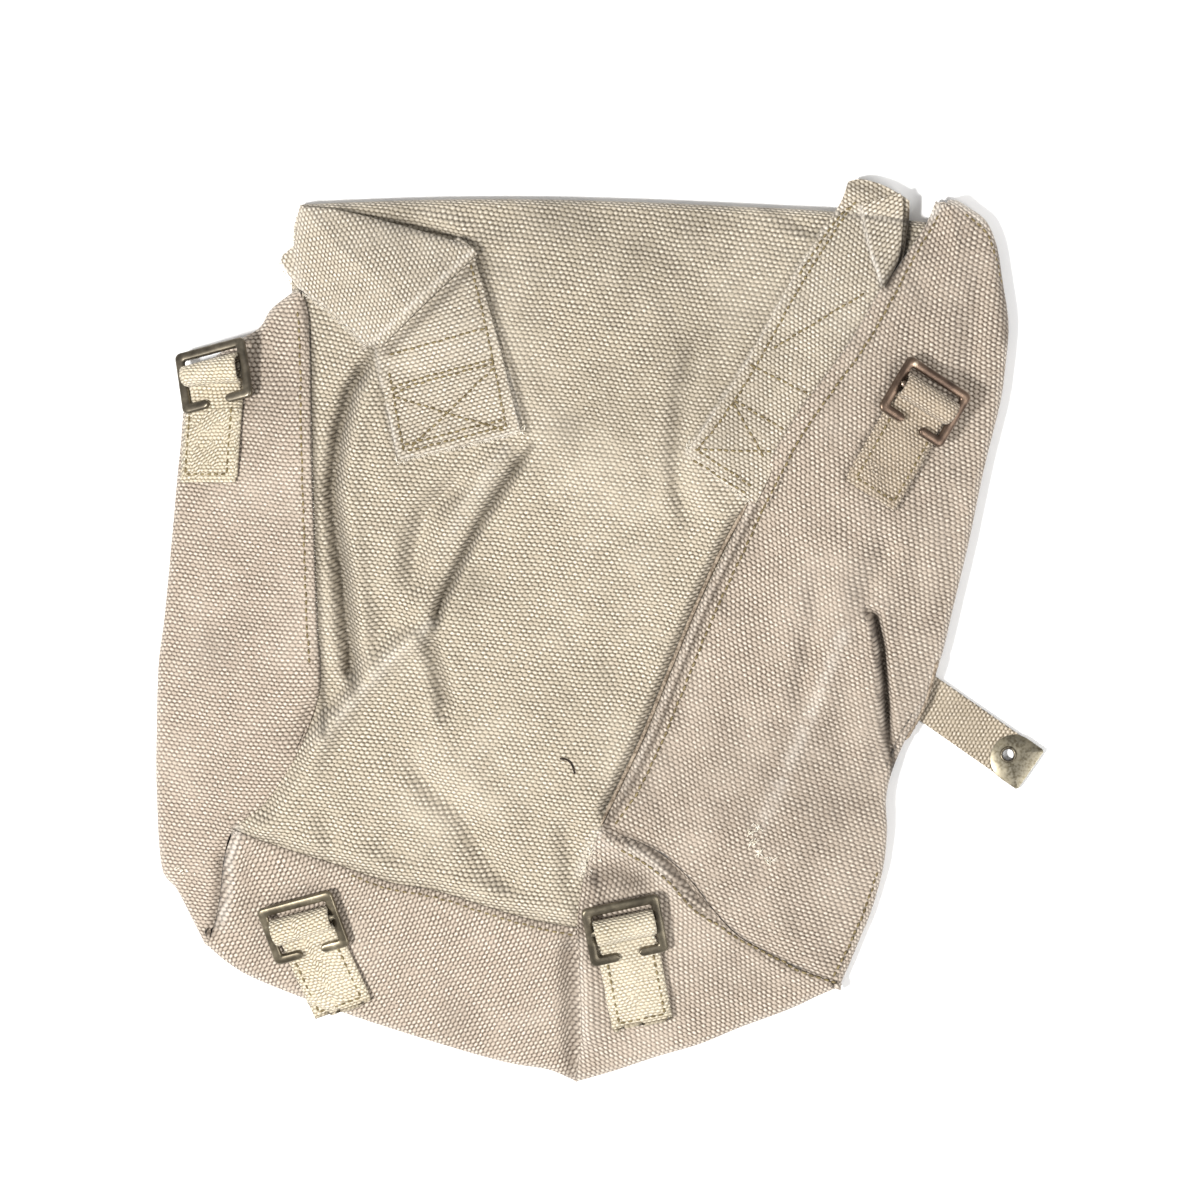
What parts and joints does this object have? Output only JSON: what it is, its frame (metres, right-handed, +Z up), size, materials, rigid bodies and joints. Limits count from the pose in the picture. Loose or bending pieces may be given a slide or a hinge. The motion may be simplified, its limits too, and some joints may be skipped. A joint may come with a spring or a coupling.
{
  "type": "haversack",
  "caption": "Worn canvas haversack lying on its front, back up, with folded shoulder tabs, webbing chapes with brass buckles and a closing strap",
  "frame": {"origin": "middle of the base of the bounding box, on the floor that the bag lies on", "axes": "+X to the right as seen from above with the mouth away, +Y towards the turned top edge, +Z up out of the back panel"},
  "size_m": [0.3704, 0.375, 0.0442],
  "materials": {
    "back_canvas": "coarse greenish-beige canvas, worn",
    "gusset_canvas": "coarse pinkish-beige canvas, worn",
    "tab_canvas": "thick beige canvas webbing, frayed at the edges",
    "chape_webbing": "cream webbing with fuzzy edges",
    "strap_webbing": "beige webbing",
    "buckle_brass": "dull darkened brass with worn edges",
    "tip_brass": "dull brass sheet"
  },
  "bodies": {
    "root": {"back_panel": "back_canvas", "front_panel": "back_canvas", "left_gusset": "gusset_canvas", "right_gusset": "gusset_canvas", "bottom_gusset": "gusset_canvas", "left_shoulder_tab": "tab_canvas", "right_shoulder_tab": "tab_canvas", "upper_left_chape": "chape_webbing", "upper_right_chape": "chape_webbing", "lower_left_chape": "chape_webbing", "lower_right_chape": "chape_webbing", "upper_left_buckle": "buckle_brass", "upper_right_buckle": "buckle_brass", "lower_left_buckle": "buckle_brass", "lower_right_buckle": "buckle_brass", "closing_strap": "strap_webbing", "strap_tip": "tip_brass", "strap_eyelet": "tip_brass"}
  },
  "joints": []
}
